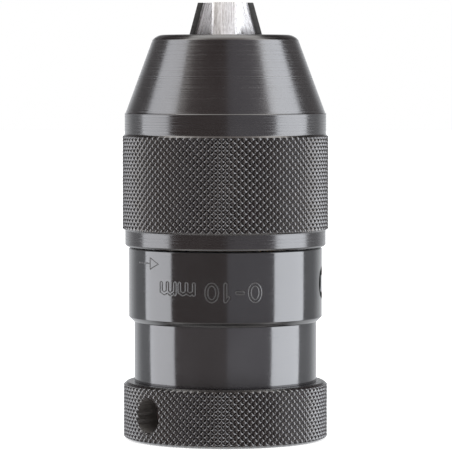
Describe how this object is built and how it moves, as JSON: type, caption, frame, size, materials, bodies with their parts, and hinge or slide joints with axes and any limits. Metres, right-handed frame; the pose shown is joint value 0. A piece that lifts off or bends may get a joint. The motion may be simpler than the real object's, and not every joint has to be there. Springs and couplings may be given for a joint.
{
  "type": "drill chuck",
  "caption": "Keyless drill chuck with a knurled sleeve, tapered nose, three coupled sliding jaws and a taper socket in its rear face.",
  "frame": {"origin": "centre of the rear face, where the taper socket opens", "axes": "+Z along the chuck's axis towards the jaws; -Y is the front, the side the first jaw faces; +X to the right of it"},
  "size_m": [0.043, 0.043, 0.091],
  "materials": {
    "black_oxide": "black oxide on fine turned steel, satin",
    "hardened_steel": "hardened and ground",
    "ground_steel": "surface ground along the jaw",
    "bearing_steel": "polished",
    "spring_steel": "blued spring steel",
    "cage_brass": "machined",
    "seal_rubber": "matt"
  },
  "bodies": {
    "chuck_body": {"taper_body": "hardened_steel", "socket_plug": "hardened_steel", "rear_ring": "black_oxide", "rear_ring_pin": "hardened_steel", "body_shell": "black_oxide", "label_ring": "black_oxide", "label_ring_pin": "hardened_steel", "dust_seal": "seal_rubber", "rear_race": "bearing_steel", "retaining_washer": "hardened_steel", "retaining_circlip": "spring_steel"},
    "turning_sleeve": {"sleeve": "black_oxide", "jaw_guide": "hardened_steel", "guide_pins": "hardened_steel", "guide_lock_ring": "black_oxide", "front_race": "bearing_steel"},
    "caged_balls": {"ball_cage": "cage_brass", "thrust_balls": "bearing_steel"},
    "feed_screw": {"feed_screw": "hardened_steel"},
    "jaw_1": {"jaw_1": "ground_steel"},
    "jaw_2": {"jaw_2": "ground_steel"},
    "jaw_3": {"jaw_3": "ground_steel"}
  },
  "joints": [
    {"name": "sleeve_turn", "type": "hinge", "parent": "chuck_body", "child": "turning_sleeve", "pos_m": [0, 0, 0.04], "axis": [0, 0, 1], "range_deg": [0, 1426]},
    {"name": "ball_cage_turn", "type": "hinge", "parent": "chuck_body", "child": "caged_balls", "pos_m": [0, 0, 0.039], "axis": [0, 0, 1], "range_deg": [0, 713]},
    {"name": "screw_feed", "type": "slide", "parent": "turning_sleeve", "child": "feed_screw", "axis": [0, 0, 1], "range_m": [-0.01585, 0]},
    {"name": "jaw_1_slide", "type": "slide", "parent": "turning_sleeve", "child": "jaw_1", "axis": [-0.0136, -0.3004, -0.9537], "range_m": [0, 0.01662]},
    {"name": "jaw_2_slide", "type": "slide", "parent": "turning_sleeve", "child": "jaw_2", "axis": [0.267, 0.1384, -0.9537], "range_m": [0, 0.01662]},
    {"name": "jaw_3_slide", "type": "slide", "parent": "turning_sleeve", "child": "jaw_3", "axis": [-0.2533, 0.162, -0.9537], "range_m": [0, 0.01662]}
  ],
  "couplings": [
    {"joint": "ball_cage_turn", "follows": "sleeve_turn", "ratio": 0.5},
    {"joint": "screw_feed", "follows": "sleeve_turn", "m_per_rad": -0.00063662},
    {"joint": "jaw_1_slide", "follows": "sleeve_turn", "m_per_rad": 0.00066751},
    {"joint": "jaw_2_slide", "follows": "sleeve_turn", "m_per_rad": 0.00066751},
    {"joint": "jaw_3_slide", "follows": "sleeve_turn", "m_per_rad": 0.00066751}
  ]
}
